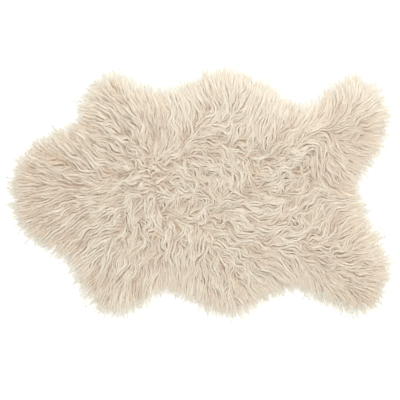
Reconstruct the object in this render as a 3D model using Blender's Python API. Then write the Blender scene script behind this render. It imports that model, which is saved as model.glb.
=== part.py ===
"""A shag rug, cut in the outline of a sheepskin and lying flat with its long wool up.

The rug is one piece of pile fabric. Its wool is a lumpy slab, thick in the middle and thinner
towards the rim, with tufts that lie over each other along the way the wool is combed. At the rim
the wool ends in pointed locks that rest on the floor. Units are metres, +Z is up, +X runs along
the rug's length, and the origin is at the middle of the underside.
"""

import math

import bmesh
import bpy
import numpy as np
from mathutils.geometry import delaunay_2d_cdt

MM = 0.001

RUG_LENGTH = 900 * MM
RUG_WIDTH = 590 * MM
CROWN_HEIGHT = 37 * MM
RIM_HEIGHT = 13 * MM
RISE_WIDTH = 75 * MM

LOCK_COUNT = 268
LOCK_REACH = 21 * MM
LOCK_LEAN = 11 * MM
LOCK_WAVE = 1.3 * MM
WAVE_STEP = math.radians(32)
TIP_LIFT = 1.2 * MM
SHORTEST_LOCK = 0.66
LONGEST_LOCK = 1.08
UNEVENNESS = 0.12
ROOT_PASSES = 6
LEAN_PASSES = 8

LOCKS_IN_A_WISP = 4.4
WISP_DRIFT = 2.0
WISP_DRAW = 0.42
WISP_SWELL = 0.38

# Sections of a rim lock: share of its reach, half width as a share of its room, height as a share
# of the rim's, width of its ridge as a share of its own, and which way it waves.
LOCK_SECTIONS = (
    (0.36, 0.36, 0.68, 0.55, 1),
    (0.70, 0.30, 0.38, 0.45, -1),
)

TUFT_PITCH = 30 * MM
TUFT_LENGTH = 60 * MM
TUFT_WIDTH = 31 * MM
TUFT_HEIGHT = 13 * MM
TUFT_CREST = 0.78
TUFT_SWING = math.radians(22)
TUFT_SCATTER = 0.3
SMALLEST_TUFT = 0.55
RIM_TUFT = 0.35

TOP_GRID = 11.8 * MM
GRID_SCATTER = 0.12
GRID_CLEARANCE = 0.6
COMB_RADIUS = 55 * MM

WOOL_COLOUR = (0.78, 0.67, 0.53, 1.0)
WOOL_ROUGHNESS = 0.9
SHARP_ANGLE = math.radians(50)
SEED = 7

# The reach of the wool's tips, anticlockwise from the left end: x and y in millimetres, and the place.
OUTLINE = (
    (-447, 15, "left lobe"),
    (-441, -45, "left lobe"),
    (-418, -92, "left lobe"),
    (-370, -132, "lower left side"),
    (-325, -155, "lower left side"),
    (-296, -200, "lower left side"),
    (-266, -247, "lower left lobe"),
    (-222, -286, "lower left lobe"),
    (-178, -286, "lower left lobe"),
    (-130, -260, "lower left lobe"),
    (-90, -236, "lower notch"),
    (-48, -246, "lower middle"),
    (0, -276, "lower middle"),
    (48, -291, "lower middle"),
    (100, -289, "lower middle"),
    (130, -263, "lower middle"),
    (175, -244, "lower right notch"),
    (218, -227, "lower right notch"),
    (255, -248, "lower right lobe"),
    (300, -268, "lower right lobe"),
    (345, -280, "lower right lobe"),
    (385, -281, "lower right lobe"),
    (418, -255, "lower right lobe"),
    (437, -200, "lower right lobe"),
    (437, -155, "lower right lobe"),
    (415, -105, "right side"),
    (385, -50, "right side"),
    (367, 12, "right notch"),
    (385, 52, "right side"),
    (420, 98, "upper right lobe"),
    (436, 150, "upper right lobe"),
    (434, 200, "upper right lobe"),
    (408, 245, "upper right lobe"),
    (362, 278, "upper right lobe"),
    (322, 266, "upper right lobe"),
    (286, 244, "upper right lobe"),
    (264, 216, "upper right notch"),
    (230, 207, "upper right notch"),
    (192, 224, "upper middle"),
    (155, 260, "upper middle"),
    (100, 282, "upper middle"),
    (45, 290, "upper middle"),
    (5, 282, "upper middle"),
    (-40, 259, "upper middle"),
    (-95, 241, "upper dip"),
    (-150, 256, "upper left lobe"),
    (-205, 283, "upper left lobe"),
    (-250, 258, "upper left lobe"),
    (-282, 213, "upper left lobe"),
    (-292, 167, "upper left notch"),
    (-335, 150, "upper left side"),
    (-385, 122, "upper left side"),
    (-428, 80, "left lobe"),
)

# The way the wool is combed: x and y in millimetres, and the tips' heading in degrees from +X.
COMB = (
    (-400, 10, 180),
    (-380, -80, 205),
    (-350, 90, 150),
    (-300, -10, 190),
    (-290, -150, 222),
    (-280, 190, 160),
    (-220, -240, 240),
    (-210, 80, 140),
    (-210, 250, 118),
    (-170, -110, 245),
    (-140, 170, 115),
    (-110, 20, 180),
    (-60, -210, 268),
    (-40, 200, 108),
    (10, 30, 60),
    (20, -230, 272),
    (40, 120, 330),
    (60, 250, 92),
    (90, -110, 320),
    (110, 160, 48),
    (120, -230, 305),
    (160, -60, 352),
    (170, 180, 82),
    (220, -10, 35),
    (240, 160, 45),
    (270, -210, 295),
    (300, -130, 15),
    (310, 50, 285),
    (340, 230, 80),
    (360, -230, 325),
    (390, -110, 30),
    (400, 110, 0),
)

# Hollows where the tufts part and fall away from each other: x, y, radius and depth in millimetres.
PARTINGS = (
    (-305, 8, 24, 9),
    (-222, 78, 20, 6),
    (-185, 20, 22, 6),
    (-100, 125, 20, 7),
    (-85, 30, 26, 7),
    (-165, -35, 24, 6),
    (-25, -70, 24, 7),
    (25, 28, 22, 7),
    (62, -62, 22, 6),
    (120, 85, 22, 6),
    (165, -5, 30, 7),
    (272, 28, 22, 9),
    (285, -62, 26, 8),
    (328, 135, 24, 8),
    (-195, 235, 18, 6),
    (35, 225, 20, 5),
)


def smooth_loop(corners, per_span=16):
    """A closed curve through the corners: Hermite spans with slopes taken from the neighbours."""
    after = np.roll(corners, -1, axis=0)
    span = np.linalg.norm(after - corners, axis=1, keepdims=True)
    slope = (after - np.roll(corners, 1, axis=0)) / (span + np.roll(span, 1, axis=0))
    start_pull = (slope * span)[:, None]
    end_pull = (np.roll(slope, -1, axis=0) * span)[:, None]
    u = np.linspace(0, 1, per_span, endpoint=False)[None, :, None]
    curve = (
        (2 * u**3 - 3 * u**2 + 1) * corners[:, None]
        + (u**3 - 2 * u**2 + u) * start_pull
        + (3 * u**2 - 2 * u**3) * after[:, None]
        + (u**3 - u**2) * end_pull
    )
    return curve.reshape(-1, 2)


def even_loop(curve, places):
    """Points of a closed curve at the given places, each a share of the way round."""
    ring = np.vstack([curve, curve[:1]])
    steps = np.linalg.norm(np.diff(ring, axis=0), axis=1)
    along = np.concatenate([[0], np.cumsum(steps)]) / steps.sum()
    return np.column_stack([np.interp(places % 1, along, ring[:, axis]) for axis in (0, 1)])


def outward(loop):
    """Unit normals of an anticlockwise loop, in the plan."""
    ahead = np.roll(loop, -1, axis=0) - np.roll(loop, 1, axis=0)
    ahead /= np.linalg.norm(ahead, axis=1, keepdims=True)
    return np.column_stack([ahead[:, 1], -ahead[:, 0]])


def relaxed(values, passes):
    """A closed row of values, each drawn halfway to the mean of its neighbours at every pass."""
    for _ in range(passes):
        values = 0.5 * values + 0.25 * (np.roll(values, 1, axis=0) + np.roll(values, -1, axis=0))
    return values


def combed(points):
    """The wool's heading at each point: the comb's rows, weighted by nearness, as unit vectors."""
    rows = np.array(COMB, float)
    away = points[:, None] - rows[None, :, :2] * MM
    weight = np.exp(-(away**2).sum(axis=2) / (2 * COMB_RADIUS**2)) + 1e-9
    angle = np.radians(rows[:, 2])
    heading = weight @ np.column_stack([np.cos(angle), np.sin(angle)])
    return heading / np.linalg.norm(heading, axis=1, keepdims=True)


def rim_plan(random):
    """Root corners and tips of the rim locks, in the plan.

    The tips lie near the outline and the roots on a smoothed inset of it. A tip leans along the rim
    towards the side to which the wool is combed. The tips of a wisp draw together, and the wisp is
    longest at its middle.
    """
    outline = smooth_loop(np.array([row[:2] for row in OUTLINE], float) * MM)
    lock = np.arange(LOCK_COUNT)
    edge = even_loop(outline, lock / LOCK_COUNT)
    root = relaxed(edge - outward(edge) * LOCK_REACH, ROOT_PASSES)
    middle = 0.5 * (root + np.roll(root, -1, axis=0))

    side = outward(edge)[:, ::-1] * (-1, 1)
    lean = relaxed((combed(middle) * side).sum(axis=1), LEAN_PASSES) * LOCK_LEAN
    perimeter = np.linalg.norm(np.roll(edge, -1, axis=0) - edge, axis=1).sum()
    drift = relaxed(random.normal(0, WISP_DRIFT, LOCK_COUNT), ROOT_PASSES)
    turn = 2 * math.pi * lock / LOCKS_IN_A_WISP + drift
    place = (lock + 0.5 - WISP_DRAW * np.sin(turn)) / LOCK_COUNT + lean / perimeter
    tip = even_loop(outline, place)

    swell = 0.5 + WISP_SWELL * np.cos(turn) + random.uniform(-UNEVENNESS, UNEVENNESS, LOCK_COUNT)
    length = SHORTEST_LOCK + (LONGEST_LOCK - SHORTEST_LOCK) * swell
    tip = middle + (tip - middle) * length[:, None]
    low, high = tip.min(axis=0), tip.max(axis=0)
    fit = (RUG_LENGTH, RUG_WIDTH) / (high - low)
    centre = 0.5 * (low + high)
    return (root - centre) * fit, (tip - centre) * fit


def rim_distance(points, root):
    """Distance from each point to the rim's polyline."""
    edge = np.roll(root, -1, axis=0) - root
    along = ((points[:, None] - root) * edge).sum(axis=2) / (edge**2).sum(axis=1)
    nearest = root + np.clip(along, 0, 1)[..., None] * edge
    return np.linalg.norm(points[:, None] - nearest, axis=2).min(axis=1)


def inside(points, root):
    """True for each point inside the rim: a ray to +X crosses the rim an odd number of times."""
    after = np.roll(root, -1, axis=0)
    x, y = points[:, :1], points[:, 1:]
    spans = (root[:, 1] > y) != (after[:, 1] > y)
    rise = np.where(after[:, 1] == root[:, 1], 1, after[:, 1] - root[:, 1])
    crossing = root[:, 0] + (y - root[:, 1]) / rise * (after[:, 0] - root[:, 0])
    return (spans & (x < crossing)).sum(axis=1) % 2 == 1


def honeycomb(pitch, scatter, random):
    """Plan points in staggered rows over the whole rug, scattered by up to a share of their pitch."""
    row_pitch = pitch * math.sqrt(3) / 2
    x = np.arange(-RUG_LENGTH / 2, RUG_LENGTH / 2, pitch)
    y = np.arange(-RUG_WIDTH / 2, RUG_WIDTH / 2, row_pitch)
    stagger = (np.arange(len(y)) % 2) * pitch / 2
    grid = np.stack([x[None, :] + stagger[:, None], np.repeat(y[:, None], len(x), axis=1)], axis=2)
    return grid.reshape(-1, 2) + pitch * random.uniform(-scatter, scatter, (grid.size // 2, 2))


def tufts(root, random):
    """Centre, heading and height of each tuft that lies on the slab."""
    centre = honeycomb(TUFT_PITCH, TUFT_SCATTER, random)
    centre = centre[inside(centre, root)]
    swing = random.normal(0, TUFT_SWING, len(centre))
    heading = combed(centre)
    turned = np.column_stack(
        [
            heading[:, 0] * np.cos(swing) - heading[:, 1] * np.sin(swing),
            heading[:, 0] * np.sin(swing) + heading[:, 1] * np.cos(swing),
        ]
    )
    return centre, turned, random.uniform(SMALLEST_TUFT, 1, len(centre)) * TUFT_HEIGHT


def tuft_height(points, centre, heading, height):
    """The highest tuft at each point.

    A tuft climbs from its root to a crest near its tip, then falls, and is rounded across.
    """
    away = points[:, None] - centre
    along = (away * heading).sum(axis=2) / TUFT_LENGTH + 0.5
    across = (away[..., 1] * heading[:, 0] - away[..., 0] * heading[:, 1]) / (TUFT_WIDTH / 2)
    ramp = np.minimum(along / TUFT_CREST, (1 - along) / (1 - TUFT_CREST))
    return (height * np.clip(ramp, 0, 1) * np.clip(1 - across**2, 0, 1)).max(axis=1)


def parting_depth(points):
    """The partings' hollows at each point: a round bell for each row."""
    rows = np.array(PARTINGS, float) * MM
    away = np.linalg.norm(points[:, None] - rows[None, :, :2], axis=2)
    return (rows[:, 3] * np.exp(-((away / rows[:, 2]) ** 2))).sum(axis=1)


def pile_height(points, root, tuft):
    """Height of the wool: a quarter-sine rise from the rim with the tufts on it, less the partings.

    The tufts lie lower at the rim, where the wool hangs over to the floor.
    """
    rise = np.sin(np.clip(rim_distance(points, root) / RISE_WIDTH, 0, 1) * math.pi / 2)
    crown = RIM_HEIGHT + (CROWN_HEIGHT - RIM_HEIGHT) * rise
    lie = RIM_TUFT + (1 - RIM_TUFT) * rise
    return crown + tuft_height(points, *tuft) * lie - parting_depth(points) * rise


def triangles(points):
    """Triangles over the plan points, inside the rim that the first of them form."""
    rim = list(range(LOCK_COUNT))
    found = delaunay_2d_cdt([tuple(p) for p in points], [], [rim], 1, 1e-7)
    verts, faces, source = found[0], found[2], found[3]
    if len(verts) != len(points):
        raise ValueError("the rim crosses itself")
    return [[source[index][0] for index in face] for face in faces]


def add_points(mesh, plan, height):
    return [mesh.verts.new((*place, z)) for place, z in zip(plan, height)]


def lock_ring(mesh, middle, side, half_width, height, ridge):
    """Four corners of a lock's section, from the floor on its right round to the floor on its left."""
    plan = [middle + side * half_width * share for share in (-1, -ridge, ridge, 1)]
    return add_points(mesh, plan, (0, height, height, 0))


def skin(mesh, first, second):
    """The four quads between two sections of a lock."""
    for corner in range(4):
        after = (corner + 1) % 4
        mesh.faces.new((first[corner], first[after], second[after], second[corner]))


def add_locks(mesh, low, high, root, tip):
    """A pointed, slightly waved lock on each piece of the rim's wall."""
    after = np.roll(root, -1, axis=0)
    middle = 0.5 * (root + after)
    reach = tip - middle
    pitch = np.linalg.norm(after - root, axis=1)
    step = np.linalg.norm(np.roll(tip, -1, axis=0) - tip, axis=1)
    tip_gap = np.minimum(step, np.roll(step, 1))
    ahead = reach / np.linalg.norm(reach, axis=1, keepdims=True)
    side = np.column_stack([-ahead[:, 1], ahead[:, 0]])
    wave = LOCK_WAVE * np.sin(np.arange(LOCK_COUNT) * WAVE_STEP)
    for lock in range(LOCK_COUNT):
        following = (lock + 1) % LOCK_COUNT
        ring = [low[lock], high[lock], high[following], low[following]]
        for share, width, height, ridge, bend in LOCK_SECTIONS:
            place = middle[lock] + reach[lock] * share + side[lock] * wave[lock] * bend
            room = pitch[lock] * (1 - share) + tip_gap[lock] * share
            section = lock_ring(mesh, place, side[lock], room * width, RIM_HEIGHT * height, ridge)
            skin(mesh, ring, section)
            ring = section
        point = mesh.verts.new((*tip[lock], TIP_LIFT))
        for corner in range(4):
            mesh.faces.new((ring[corner], ring[(corner + 1) % 4], point))


def build_fleece():
    """The fleece as one closed solid: flat underside, lumpy top and rim locks."""
    random = np.random.default_rng(SEED)
    root, tip = rim_plan(random)
    tuft = tufts(root, random)
    grid = honeycomb(TOP_GRID, GRID_SCATTER, random)
    grid = grid[inside(grid, root)]
    grid = grid[rim_distance(grid, root) > TOP_GRID * GRID_CLEARANCE]
    top = np.vstack([root, grid])

    mesh = bmesh.new()
    low = add_points(mesh, root, np.zeros(LOCK_COUNT))
    high = add_points(mesh, top, pile_height(top, root, tuft))
    for face in triangles(top):
        mesh.faces.new([high[index] for index in face])
    for face in triangles(root):
        mesh.faces.new([low[index] for index in reversed(face)])
    add_locks(mesh, low, high[:LOCK_COUNT], root, tip)
    bmesh.ops.recalc_face_normals(mesh, faces=mesh.faces)
    return mesh


def wool_material():
    material = bpy.data.materials.new("wool")
    material.use_nodes = True
    shader = material.node_tree.nodes["Principled BSDF"]
    shader.inputs["Base Color"].default_value = WOOL_COLOUR
    shader.inputs["Roughness"].default_value = WOOL_ROUGHNESS
    shader.inputs["Metallic"].default_value = 0.0
    material.diffuse_color = WOOL_COLOUR
    return material


def main():
    for old in list(bpy.data.objects):
        bpy.data.objects.remove(old, do_unlink=True)
    data = bpy.data.meshes.new("fleece")
    mesh = build_fleece()
    mesh.to_mesh(data)
    mesh.free()
    data.shade_smooth()
    data.set_sharp_from_angle(angle=SHARP_ANGLE)
    data.materials.append(wool_material())
    fleece = bpy.data.objects.new("fleece", data)
    bpy.context.collection.objects.link(fleece)


main()
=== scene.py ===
"""The shag rug's looks: its long wool in locks of waved strands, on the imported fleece.

The rug lies on the floor with its wool up, and the camera looks straight down on it. The wool is
made as joined meshes of thin tubes. Each lock of wool follows a path that is combed over the rug,
and its strands run side by side along that path and draw together at the tip.
"""

import math
from collections import namedtuple

import bpy
import numpy as np
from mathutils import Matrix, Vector
from mathutils.geometry import delaunay_2d_cdt


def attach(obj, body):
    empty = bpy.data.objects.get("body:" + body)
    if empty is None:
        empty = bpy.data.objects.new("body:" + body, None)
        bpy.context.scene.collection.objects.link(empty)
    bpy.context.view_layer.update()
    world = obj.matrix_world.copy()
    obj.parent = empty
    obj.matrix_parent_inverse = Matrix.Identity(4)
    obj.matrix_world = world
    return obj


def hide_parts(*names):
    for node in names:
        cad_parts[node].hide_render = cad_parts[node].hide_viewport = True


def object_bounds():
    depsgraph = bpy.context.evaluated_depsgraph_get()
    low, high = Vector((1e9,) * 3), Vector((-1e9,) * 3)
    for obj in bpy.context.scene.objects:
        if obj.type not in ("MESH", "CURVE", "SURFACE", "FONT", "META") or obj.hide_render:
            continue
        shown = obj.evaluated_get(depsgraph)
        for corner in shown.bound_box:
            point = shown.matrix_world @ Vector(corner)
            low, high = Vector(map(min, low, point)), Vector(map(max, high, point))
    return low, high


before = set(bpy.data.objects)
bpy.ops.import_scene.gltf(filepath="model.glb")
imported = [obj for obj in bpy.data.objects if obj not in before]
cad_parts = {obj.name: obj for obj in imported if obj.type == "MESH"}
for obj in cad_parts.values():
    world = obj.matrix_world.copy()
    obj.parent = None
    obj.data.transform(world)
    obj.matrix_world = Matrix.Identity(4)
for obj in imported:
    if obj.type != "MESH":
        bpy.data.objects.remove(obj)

MM = 0.001
CAD_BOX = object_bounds()
SEED = 11

# The chart is a plan of the rug in squares. It holds the wool's height, heading and the like.
SQUARE = 3 * MM
MARGIN = 60 * MM
LOW_CORNER = np.array(CAD_BOX[0][:2]) - MARGIN
CHART_SIZE = np.ceil((np.array(CAD_BOX[1][:2]) + MARGIN - LOW_CORNER) / SQUARE).astype(int) + 1

# A cloud's ring in its spectrum is this wide, as a share of its own frequency.
RING_WIDTH = 0.45

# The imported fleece's wall runs from below FLOOR_TOP to above WALL_TOP, and the tips of its rim
# locks lie between TIP_BOTTOM and TIP_TOP.
FLOOR_TOP = 0.1 * MM
WALL_TOP = 5 * MM
TIP_BOTTOM = 0.5 * MM
TIP_TOP = 3 * MM
HALF_SIZE = (450 * MM, 295 * MM)
HEIGHT_BLUR = 5 * MM
HEIGHT_CUTS = 6
DEPTH_BATCHES = 40

COMB_RADIUS = 30 * MM
COMB_TAIL = 0.001
RIM_DRAW = 0.4
RIM_DRAW_DEPTH = 18 * MM
SLOPE_BLUR = 6 * MM

# The clouds that turn the wool from its comb: the wave length of each, and its swing in degrees
# where the wool lies plain and what is added where it curls.
Swing = namedtuple("Swing", "wave plain curled")
BROAD = Swing(80 * MM, 3, 9)
MIDDLING = Swing(42 * MM, 16, 18)
FINE = Swing(25 * MM, 4, 13)
MIDDLING_RISE = (6 * MM, 40 * MM)
CALMING = 0.6

# Parts where the wool lies calmer: how calm, then where the part starts and where it is full along
# x, and the same along y, in millimetres. The last part is a bell: how calm, x, y and its radius.
CALM_PARTS = (
    (1.0, -150, -280, 60, 0),
    (0.9, -90, -160, 60, 110),
    (0.9, -60, 0, 110, 190),
)
CALM_BELL = (1.1, 125, -65, 45 * MM)

# Other parts of the rug: where each starts and where it is full, along x, along y or in depth.
Part = namedtuple("Part", "x y")
LEFT = (-20 * MM, -250 * MM)
LEFT_END = (-200 * MM, -430 * MM)
RIGHT_END = (180 * MM, 400 * MM)
FAR_SIDE = (100 * MM, 270 * MM)
FAR_LOBE = Part(x=(-140 * MM, -20 * MM), y=(120 * MM, 260 * MM))
UPPER_LEFT = Part(x=(0, -150 * MM), y=(0, 120 * MM))
CURLY = (20 * MM, 130 * MM)
MORE_CURLY = (-350 * MM, -130 * MM)
END_CURLS = 0.35

# How crisp the lanes are and how much the tufts stand out: everywhere, what curls and the left part
# add to it, and what the lobe on the far side takes from it.
Zone = namedtuple("Zone", "plain curly left lobe")
CRISP = Zone(0.45, 0.65, 1.1, 0.5)
TUFTED = Zone(0.4, 0.9, 0.9, 0.2)
DARKER_LEFT_END = 1.2
DARKER_RIGHT_END = 0.8
LIGHTER_CURLS = 0.5

# The way the wool is combed: x and y in millimetres, and the tips' heading in degrees from +X.
COMB = (
    (-420, 20, 179),
    (-350, 55, 166),
    (-350, -15, 190),
    (-350, -65, 206),
    (-400, -80, 202),
    (-340, -115, 214),
    (-300, -60, 220),
    (-300, -130, 222),
    (-250, -100, 216),
    (-280, -185, 226),
    (-250, -235, 236),
    (-205, -265, 256),
    (-210, -190, 244),
    (-180, -140, 243),
    (-160, -240, 262),
    (-200, -40, 196),
    (-150, -60, 258),
    (-120, -60, 300),
    (-130, -205, 236),
    (-100, -150, 262),
    (-100, -220, 262),
    (-50, -200, 270),
    (-40, -140, 262),
    (-25, -95, 240),
    (0, -250, 266),
    (40, -175, 282),
    (50, -240, 276),
    (60, -125, 308),
    (100, -235, 304),
    (105, -120, 332),
    (150, -230, 316),
    (150, -150, 345),
    (160, -90, 352),
    (120, -60, 345),
    (170, -190, 326),
    (210, -150, 322),
    (225, -205, 302),
    (220, -70, 62),
    (270, -190, 293),
    (260, -240, 290),
    (300, -150, 358),
    (300, -115, 30),
    (300, -175, 345),
    (330, -225, 328),
    (330, -270, 298),
    (380, -225, 338),
    (375, -270, 312),
    (420, -230, 335),
    (400, -170, 0),
    (420, -135, 18),
    (370, -115, 38),
    (380, -75, 30),
    (360, -60, 38),
    (335, -30, 22),
    (285, -55, 80),
    (370, -15, 345),
    (360, 20, 330),
    (320, 10, 306),
    (300, 45, 290),
    (292, 100, 272),
    (250, 0, 48),
    (200, 0, 30),
    (200, 60, 10),
    (200, 105, 20),
    (150, 0, 2),
    (240, 50, 200),
    (370, 55, 338),
    (395, 85, 345),
    (350, 108, 355),
    (430, 140, 5),
    (400, 155, 20),
    (345, 160, 30),
    (430, 195, 15),
    (405, 225, 45),
    (424, 248, 50),
    (370, 265, 88),
    (340, 260, 100),
    (300, 250, 120),
    (325, 215, 78),
    (300, 235, 82),
    (260, 180, 45),
    (240, 140, 38),
    (230, 195, 60),
    (200, 195, 72),
    (170, 230, 92),
    (165, 180, 80),
    (162, 120, 82),
    (125, 190, 46),
    (100, 140, 50),
    (130, 245, 86),
    (90, 280, 90),
    (40, 280, 90),
    (8, 275, 94),
    (25, 222, 142),
    (75, 210, 70),
    (65, 150, 78),
    (30, 150, 338),
    (25, 105, 330),
    (50, 70, 280),
    (95, 35, 268),
    (40, 30, 88),
    (5, 60, 0),
    (-20, 25, 265),
    (10, -8, 180),
    (-20, -40, 40),
    (40, -55, 20),
    (-60, -20, 60),
    (-70, 20, 350),
    (-100, 70, 2),
    (-130, 15, 180),
    (-165, 75, 160),
    (-60, 110, 80),
    (-40, 150, 96),
    (-60, 205, 108),
    (-30, 245, 118),
    (-100, 180, 104),
    (-100, 230, 114),
    (-122, 153, 105),
    (-150, 220, 124),
    (-172, 142, 138),
    (-170, 100, 140),
    (-200, 180, 134),
    (-185, 250, 120),
    (-205, 275, 114),
    (-250, 238, 150),
    (-278, 208, 174),
    (-288, 176, 182),
    (-240, 126, 160),
    (-224, 164, 158),
    (-250, 85, 140),
    (-250, 45, 146),
    (-205, 20, 200),
    (-300, 130, 130),
    (-330, 145, 124),
    (-300, 70, 158),
    (-380, 85, 155),
    (-345, 120, 140),
    (-400, 105, 150),
    (-290, 0, 185),
)

# Small hollows between locks, where the locks dip, the darker wool below shows and the strands are darkened
# with painted shade: x, y and radius in millimetres.
HOLLOWS = (
    (-386, 36, 10),
    (-330, 80, 12),
    (-312, -40, 10),
    (-298, 14, 9),
    (-290, 56, 10),
    (-264, 168, 9),
    (-257, 213, 9),
    (-236, 127, 10),
    (-216, 209, 8),
    (-201, 172, 9),
    (-197, 238, 8),
    (-185, 209, 8),
    (-180, 137, 9),
    (-205, 40, 12),
    (-167, 172, 9),
    (-152, 119, 9),
    (-110, 122, 10),
    (-64, 60, 9),
    (-82, 36, 12),
    (-35, -30, 10),
    (17, 195, 7),
    (31, 224, 7),
    (38, 128, 9),
    (28, 100, 10),
    (103, -6, 12),
    (133, 41, 10),
    (142, -102, 12),
    (160, 77, 9),
    (215, -20, 12),
    (243, -42, 9),
    (261, 29, 12),
    (306, -63, 11),
    (311, 142, 12),
    (325, 188, 9),
    (383, 137, 9),
)
HOLLOW_DROP = 6.5 * MM
# How much painted shade darkens the strands' tone in a hollow.
HOLLOW_PAINTED_SHADE = 5
RIM_HEIGHT = 12 * MM
RIM_RISE = (-24 * MM, 8 * MM)

# Places on the rim where the wool reaches further out, or less far: x, y and how far, in mm.
REACH_RADIUS = 14 * MM
TIP_RADIUS = 9 * MM
PLAIN_REACH = 20 * MM
MORE_REACH = 9.2 * MM
SIDE_REACH = 2 * MM
REACHES = (
    (-426, -89, -3),
    (-450, -10, -6),
    (-452, 22, -4),
    (-438, 49, -9),
    (-434, 84, -6),
    (-424, 105, -4),
    (-391, 119, -3),
    (-376, 140, -2),
    (-352, 146, -1),
    (-330, 156, -4),
    (-301, 169, -9),
    (-292, 196, 5),
    (-284, 228, 7),
    (-262, 255, 10),
    (-232, 278, 4),
    (-160, 262, -3),
    (-106, 246, 2),
    (-48, 255, 2),
    (-12, 268, -9),
    (6, 287, 5),
    (46, 290, 2),
    (131, 268, -14),
    (170, 248, -7),
    (216, 218, 3),
    (260, 214, 4),
    (284, 234, 6),
    (302, 252, 7),
    (365, 281, 5),
    (350, 280, 3),
    (389, 260, -16),
    (417, 249, 13),
    (431, 216, -7),
    (435, 144, -6),
    (427, 113, 3),
    (410, 76, 5),
    (396, 60, 5),
    (373, 18, -5),
    (424, -111, -3),
    (435, -228, -10),
    (424, -255, -5),
    (373, -285, 4),
    (334, -277, 3),
    (291, -268, 10),
    (256, -250, 10),
    (198, -237, 8),
    (92, -291, 3),
    (38, -286, -5),
    (-20, -267, -6),
    (-44, -252, 3),
    (-230, -288, 7),
    (-260, -264, 14),
    (-280, -236, 4),
    (-289, -214, 3),
    (-360, -135, 3),
)

# The wool's pieces. Sizes are in millimetres, and each row holds: the kind; the pitch of its
# locks; how far in from the edge of the cloth their middles start and end; the strands in a lock
# and the sections of a strand; the lock's length, width and thickness; a strand's radius; the
# level of the lock's back as a share of the pile; the height of its own waves; how much a lock
# strays from the comb, in degrees; how far it is drawn to its tuft, and gathered in lanes; how
# much it narrows to its tip; its least and greatest reach past the tips of the rim; and its
# lowest and highest tone from 0 to 1.
Wool = namedtuple(
    "Wool",
    "kind pitch inner outer strands sections length width thickness radius level wave stray draw"
    " gather point short long dark light",
)
FAR_IN = 900
# The pieces lower in the pile take darker tones and the crown the lightest, as painted shade deep in the
# pile.
WOOL_ROWS = (
    ("deep", 20.0, 4, FAR_IN, 2, 5, 66, 9.0, 0.6, 2.2, 0.86, 1.0, 9, 0.2, 0.0, 0.8, -18, -8, 0.0, 0.4),
    ("low", 18.0, -2, FAR_IN, 3, 7, 78, 6.4, 0.6, 1.25, 0.90, 0.7, 6, 0.2, 0.15, 0.8, -16, -2, 0.0, 0.6),
    ("mid", 17.4, 2, FAR_IN, 2, 9, 80, 2.5, 0.6, 1.0, 0.935, 0.7, 4, 0.2, 0.55, 0.8, -14, 0, 0.1, 0.8),
    ("upper", 17.4, 6, FAR_IN, 2, 10, 84, 2.0, 0.6, 0.85, 0.96, 0.7, 3, 0.2, 0.8, 0.8, -12, 2, 0.05, 0.95),
    ("crown", 17.4, 8, FAR_IN, 2, 10, 86, 1.8, 0.6, 0.8, 0.99, 0.7, 3, 0.15, 0.9, 0.8, -10, 6, 0.15, 1.0),
    ("rim", 8.4, -24, 9, 4, 6, 72, 6.0, 0.8, 0.42, 0.85, 0.8, 6, 0.2, 0.4, 0.4, -8, 18, 0.5, 1.0),
    ("strays", 12.0, -12, FAR_IN, 1, 6, 76, 1.0, 0.0, 0.42, 1.02, 1.6, 11, 0.1, 0.2, 0.8, -6, 12, 0.6, 1.0),
)
WOOLS = [Wool(*row) for row in WOOL_ROWS]
TUFT_PITCH = 27
TUFT_LENGTH = 72
TUFT_OUTER = 12 * MM
TUFT_RELIEF = 1.8 * MM
TUFT_RELIEF_WAVE = 40 * MM
TUFT_RELIEF_DEPTH = 25 * MM
SCATTER = 0.33
PATH_STEPS = 25
PATH_MIDDLE = 10

# Shares of a lock's own values: the least and the greatest that chance gives it.
LENGTHS = (0.75, 1.2)
DRAWS = (0.5, 1.2)
LEVELS = (0.97, 1.035)
WAVE_LENGTH = 30 * MM
WAVE_LENGTHS = (0.75, 1.3)
WAVE_SIZES = (0.3, 1.3)
WAVE_RISE = 0.6
RIM_WAVES = 0.35
RIM_STRAY = 0.5
PLAIN_CURL, INNER_CURL = 0.05, 0.2
WISP_REACH = 2
WISP_WAVE = 30 * MM
ROOT_LEVEL = 0.4
TIP_DROOP = 0.12

# Strands gather in lanes side by side. The lanes' chart has several squares to each of the plan's.
LANE = 7.4 * MM
LANE_SQUARES = 2
LANE_ROUNDS = 260
LANE_RISE = 1.3 * MM
WIDER_LANES = 0.25
UNEVEN_LANES = 0.12
UNEVEN_LANES_WAVE = 70 * MM

# A strand's own place in its lock, its length, radius and ripple, and how the lock's width and the
# strand's radius grow from the root.
STRAND_SHIFT = 0.2
STRAND_LENGTHS = (0.86, 1)
STRAND_RADII = (0.8, 1.15)
ROOT_RADIUS = 0.75
TIP_NARROWING = 0.75
ROOT_WIDTH, SWELL = 0.55, 0.45
RIPPLE = 0.35 * MM
RIPPLE_TURNS = (8, 14)
RIPPLE_STARTS = (0, 6.3)
FLOOR_CLEARANCE = 0.3 * MM
NORMAL_LEAN = 0.3

# A strand's tone from 0 to 1: its middle, and the weights of what raises and lowers it.
MIDDLE_TONE = 0.61
CHART_TONE = 0.14
LOCK_TONE = 0.1
# The ridge's weight paints light on the lanes' ridges and shade in their furrows.
RIDGE_PAINTED_LIGHT_AND_SHADE = 0.28
STRAND_TONE = 0.08
# The light chart's weight: its lightening of the far side is painted light from the key lamp.
LIGHT_TONE = 2
TONE_WAVE = 90 * MM
TONES = 16
CELL_EDGE = 0.06

# The streaks' noise is read on a circle round the strand, along it, and apart for each kind. The
# root's painted shade ends at a share of the strand, and the tip's starts at another.
STREAKS = 0.16
STREAK_ROUND = 1.6
STREAK_ALONG = 1.5
STREAK_APART = 7.3
PALER_ROOT = 0.7
TIP_SHARE = 0.7
ROOT_END = 0.5
TIP_START = 0.55

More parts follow.
